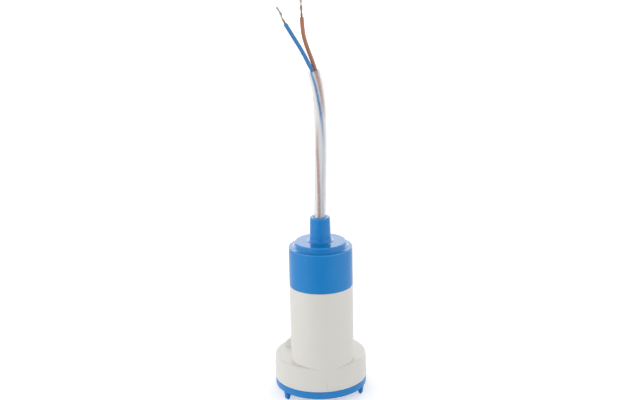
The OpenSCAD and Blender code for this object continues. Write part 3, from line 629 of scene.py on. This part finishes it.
# %% Finishes of the inner pieces
# name: colour, second colour, metallic, roughness, mark, size of the mark in mm, its height in mm
INNER = {
    "black_moulded_rubber": ("#1C1C1C", "#262524", 0, 0.62, "specks", 0.5, 0.01),
    "white_moulded_nylon": ("#E4E3DC", "#D9D7CE", 0, 0.42, "specks", 1.2, 0.005),
    "zinc_plated_steel": ("#B9BDC1", "#A3A7AA", 1, 0.32, "drawn", 0.6, 0.003),
    "dark_moulded_nylon": ("#22272A", "#2C3235", 0, 0.46, "specks", 0.8, 0.008),
    "sintered_bronze": ("#A07C48", "#6F5330", 1, 0.48, "specks", 0.25, 0.01),
    "ceramic_ferrite": ("#35363A", "#28282B", 0, 0.58, "specks", 0.4, 0.01),
    "pressed_carbon": ("#161616", "#242323", 0, 0.55, "specks", 0.3, 0.01),
    "phosphor_bronze_strip": ("#B98456", "#A5714A", 1, 0.3, "drawn", 0.5, 0.002),
    "enamelled_copper_wire": ("#A8502A", "#6E2F18", 1, 0.3, "turns", 0.45, 0.12),
    "turned_copper": ("#C58A62", "#A8714C", 1, 0.28, "stacked", 0.4, 0.004),
    "stamped_brass": ("#CDB06A", "#B79A58", 1, 0.3, "drawn", 0.5, 0.003),
    "ground_steel": ("#C4C6C9", "#AEB1B5", 1, 0.2, "stacked", 0.3, 0.002),
    "stacked_core_steel": ("#84878C", "#4C4E52", 1, 0.45, "stacked", 0.5, 0.04),
    "white_acetal": ("#E9E9E4", "#E0DFD8", 0, 0.3, "specks", 1.5, 0.004),
}
MARKS = {  # stretch of the pattern along X, Y and Z: a small number draws it out along that axis
    "specks": (1, 1, 1),
    "drawn": (1, 1, 0.05),
    "stacked": (0.02, 0.02, 1),
    "turns": (0.3, 0.3, 1),
}
MARK_LOW, MARK_HIGH = 0.35, 0.65  # a narrower range of the noise gives the marks clearer edges


def inner_finish(name):
    colour, second, metallic, roughness, mark, size, height = INNER[name]
    material, tree, shader = new_finish(name, Metallic=metallic)
    place = add(tree, "TexCoord", {}).outputs["Object"]
    drawn = add(tree, "Mapping", {"Vector": place, "Scale": MARKS[mark]}).outputs[0]
    pattern = add(tree, "TexNoise", {"Vector": drawn, "Scale": per_mm(size), "Detail": 3})
    sharp = add(tree, "MapRange", {
        "Value": pattern.outputs[0], "From Min": MARK_LOW, "From Max": MARK_HIGH,
    }).outputs[0]
    tint = add(tree, "Mix", {
        SHARE: sharp, FIRST: linear(colour), SECOND: linear(second),
    }, data_type="RGBA")
    gloss = add(tree, "MapRange", {
        "Value": sharp, "To Min": GLOSS_LOW * roughness, "To Max": GLOSS_HIGH * roughness,
    })
    bump = add(tree, "Bump", {"Height": sharp, "Distance": height * MM})
    tree.links.new(tint.outputs[MIXED], shader.inputs["Base Color"])
    tree.links.new(gloss.outputs[0], shader.inputs["Roughness"])
    tree.links.new(bump.outputs[0], shader.inputs["Normal"])
    return material


print("inner finishes:", len(INNER))

# %% Which inner piece wears what
WORN_BY = {
    "black_moulded_rubber": ("base_o_ring", "cap_seal", "cable_seal", "shaft_seal"),
    "white_moulded_nylon": ("cable_tie", "thrust_washers"),
    "zinc_plated_steel": ("motor_can", "motor_screws"),
    "dark_moulded_nylon": ("end_bell",),
    "sintered_bronze": ("front_bearing", "rear_bearing"),
    "ceramic_ferrite": ("magnets",),
    "pressed_carbon": ("brushes",),
    "phosphor_bronze_strip": ("brush_springs",),
    "enamelled_copper_wire": ("rotor_windings",),
    "turned_copper": ("commutator",),
    "stamped_brass": ("terminals",),
    "ground_steel": ("motor_shaft",),
    "stacked_core_steel": ("rotor_core",),
    "white_acetal": ("impeller",),
}
for name, nodes in WORN_BY.items():
    material = inner_finish(name)
    for node in nodes:
        wear(node, material)

# %% [markdown]
# ## White ground
# The pump stands on a white table without a visible edge. The floor is a plain diffuse white, so it
# throws light up at the pump and catches its shadow. Seen directly it also glows a little, and in a
# reflection less, which lifts it to white without any more light on the pump. From below it is
# clear, so that the inlet can be looked at.

# %% Floor
FLOOR_HALF = 4.0
FLOOR_Z = -0.05 * MM

bm = bmesh.new()
bmesh.ops.create_grid(
    bm, x_segments=1, y_segments=1, size=FLOOR_HALF, matrix=Matrix.Translation((0, 0, FLOOR_Z))
)
floor_mesh = bpy.data.meshes.new("floor")
bm.to_mesh(floor_mesh)
bm.free()
floor = bpy.data.objects.new("floor", floor_mesh)
scene.collection.objects.link(floor)
print("floor", 2 * FLOOR_HALF, "m wide")

# %% White of the table
GLOW, MIRRORED_GLOW = 0.45, 0.15
TABLE_WHITE, PURE_WHITE = "#F2F2F2", "#FFFFFF"

table, tree, shader = new_finish("white_table", Roughness=1.0)
shader.inputs["Specular IOR Level"].default_value = 0
shader.inputs["Base Color"].default_value = linear(TABLE_WHITE)
shader.inputs["Emission Color"].default_value = linear(PURE_WHITE)
path = add(tree, "LightPath", {}).outputs
seen = add(tree, "Math", {
    0: path["Is Camera Ray"], 1: path["Is Transmission Ray"],
}, operation="MAXIMUM")
direct = add(tree, "Math", {0: seen.outputs[0], 1: GLOW}, operation="MULTIPLY")
glow = add(tree, "Math", {
    0: path["Is Glossy Ray"], 1: MIRRORED_GLOW, 2: direct.outputs[0],
}, operation="MULTIPLY_ADD")
tree.links.new(glow.outputs[0], shader.inputs["Emission Strength"])
from_below = add(tree, "NewGeometry", {}).outputs["Backfacing"]
clear = add(tree, "BsdfTransparent", {})
both = add(tree, "MixShader", {0: from_below, 1: shader.outputs[0], 2: clear.outputs[0]})
tree.links.new(both.outputs[0], tree.nodes["Material Output"].inputs["Surface"])
floor_mesh.materials.append(table)
print("glow of the table, seen and mirrored:", GLOW, MIRRORED_GLOW)

# %% [markdown]
# ## Soft light
# The photograph has soft light from two sides; overhead and on the camera's side it is darker.
# Large lamps could give that, but the world does it with a few nodes: its light is strongest near
# the horizon and to the left and right. The camera and reflections see plain white in its place.

# %% World
FRONT_LEVEL, SIDE_LEVEL = 1.19, 2.95
LEAN = 0.08  # the light from the left is a little stronger

world = bpy.data.worlds.new("soft_light")
world.use_nodes = True
scene.world = world
tree = world.node_tree
path = add(tree, "LightPath", {}).outputs
seen = path["Is Camera Ray"]
for ray in ("Is Glossy Ray", "Is Transmission Ray"):
    seen = add(tree, "Math", {0: seen, 1: path[ray]}, operation="MAXIMUM").outputs[0]
way = add(tree, "SeparateXYZ", {0: add(tree, "TexCoord", {}).outputs["Generated"]}).outputs
leaning = add(tree, "Math", {0: way["X"], 1: LEAN}, operation="SUBTRACT").outputs[0]
sideways = add(tree, "Math", {0: leaning, 1: leaning}, operation="MULTIPLY").outputs[0]
level = add(tree, "MapRange", {
    "Value": sideways, "To Min": FRONT_LEVEL, "To Max": SIDE_LEVEL,
}).outputs[0]
low = add(tree, "MapRange", {"Value": way["Z"], "To Min": 1, "To Max": 0}).outputs[0]
strength = add(tree, "Math", {0: level, 1: low}, operation="MULTIPLY").outputs[0]
soft = add(tree, "Background", {"Color": linear(PURE_WHITE), "Strength": strength})
plain = add(tree, "Background", {"Color": linear(PURE_WHITE), "Strength": 1.0})
both = add(tree, "MixShader", {0: seen, 1: soft.outputs[0], 2: plain.outputs[0]})
tree.links.new(both.outputs[0], tree.nodes["World Output"].inputs["Surface"])
print("light in front and at the sides:", FRONT_LEVEL, SIDE_LEVEL)

# %% [markdown]
# ## What the gloss mirrors
# A glossy blue cap shows the room as much as its own colour: a dark middle from the open side where
# the camera stands, and a dark hollow round the disc from the dim ceiling. Two dark sheets stand
# for them. Only reflections see them, and they fade out to their edges, so no line shows on the
# plastic.

# %% Painted dark of the sheets
# painted darkness for reflections: the sheets stand for the dim ceiling and the open side
REFLECTED_DARK = "#0C0C0C"

dark_sheet_finish, tree, shader = new_finish("painted_dark_reflection", Roughness=1.0)
shader.inputs["Base Color"].default_value = linear(REFLECTED_DARK)
shader.inputs["Specular IOR Level"].default_value = 0
covered = add(tree, "Attribute", {}, attribute_name="cover").outputs["Fac"]
clear = add(tree, "BsdfTransparent", {})
both = add(tree, "MixShader", {0: covered, 1: clear.outputs[0], 2: shader.outputs[0]})
tree.links.new(both.outputs[0], tree.nodes["Material Output"].inputs["Surface"])
print("felt:", REFLECTED_DARK)

# %% A sheet round the pump
SPIN_STEPS = 28


def dark_sheet(name, profile, half, cover):
    """A profile spun to both sides of the camera's direction; cover says how dark a place is."""
    bm = bmesh.new()
    layer = bm.verts.layers.float.new("cover")
    ends = bmesh.ops.create_vert(bm, co=(0, -profile[0][0], profile[0][1]))["vert"]
    for (r, z), (next_r, next_z) in zip(profile, profile[1:]):
        ends = bmesh.ops.extrude_vert_indiv(bm, verts=ends)["verts"]
        bmesh.ops.translate(bm, verts=ends, vec=(0, r - next_r, next_z - z))
    start = Matrix.Rotation(AZIMUTH - half, 3, "Z")
    bmesh.ops.rotate(bm, verts=bm.verts, cent=(0, 0, 0), matrix=start)
    bmesh.ops.spin(
        bm, geom=bm.verts[:] + bm.edges[:], cent=(0, 0, 0), axis=(0, 0, 1), dvec=(0, 0, 0),
        angle=2 * half, steps=SPIN_STEPS, use_merge=half == math.pi,
    )
    for v in bm.verts:
        v[layer] = cover(v.co)
    mesh = bpy.data.meshes.new(name)
    bm.to_mesh(mesh)
    bm.free()
    mesh.materials.append(dark_sheet_finish)
    sheet = bpy.data.objects.new(name, mesh)
    sheet.visible_camera = sheet.visible_diffuse = False
    sheet.visible_transmission = sheet.visible_shadow = False
    scene.collection.objects.link(sheet)
    print(name, "faces:", len(mesh.polygons))


# %% Dark sheets, with radius and height in metres
SHEET_HALF = math.radians(56)
FRONT_SHEET = [
    (0.12, 0.001), (0.3, 0.001), (0.55, 0.001), (0.7, 0.12), (0.72, 0.35), (0.6, 0.6), (0.4, 0.8),
]
FOOT_Z, FOOT_COVER = 0.1, 0.7  # the part of the front sheet on the floor is less dark
SIDE_FADE = 1.5  # power of the fade to the front sheet's sides
CEILING_R, CEILING_Z = 0.8, 0.9
CEILING = [(r, CEILING_Z) for r in (0.02, 0.2, 0.4, 0.6, CEILING_R)]
CEILING_COVER, CEILING_FADE = 0.5, 0.4


def front_cover(place):
    off = abs(math.atan2(place.x, -place.y) - AZIMUTH) / SHEET_HALF
    return (FOOT_COVER if place.z < FOOT_Z else 1) * max(0, 1 - off ** SIDE_FADE)


def ceiling_cover(place):
    return CEILING_COVER * min(1, (CEILING_R - place.xy.length) / CEILING_FADE)


dark_sheet("dark_front", FRONT_SHEET, SHEET_HALF, front_cover)
dark_sheet("dark_ceiling", CEILING, math.pi, ceiling_cover)

# %% [markdown]
# ## Lamps
# Behind the pump the photograph has a white wall that is brighter than anything else. One wide lamp
# stands for it, and the flat top of the cap mirrors it. A small, weak lamp on the camera's side
# fills the front of the pump, and reflections leave it out.

# %% Lamps
# Width and height in metres, power in watts, metres behind and above the point aimed at, and
# whether reflections show it
LAMPS = {
    "back_wall": (4.8, 1.7, 31.6, 2.4, 0.72, True),
    "front_fill": (1.6, 1.2, 1.5, -0.9, 0.8, False),
}

away = Vector((-to_camera.x, -to_camera.y, 0)).normalized()
for name, (width, height, power, behind, above, mirrored) in LAMPS.items():
    lamp = bpy.data.objects.new(name, bpy.data.lights.new(name, "AREA"))
    lamp.data.shape = "RECTANGLE"
    lamp.data.size, lamp.data.size_y, lamp.data.energy = width, height, power
    lamp.location = AIM + behind * away + Vector((0, 0, above))
    lamp.rotation_mode = "QUATERNION"
    lamp.rotation_quaternion = (AIM - lamp.location).to_track_quat("-Z", "Y")
    lamp.visible_camera = False
    lamp.visible_glossy = mirrored
    scene.collection.objects.link(lamp)
scene.view_settings.view_transform = "Standard"
print("lamps:", *LAMPS)
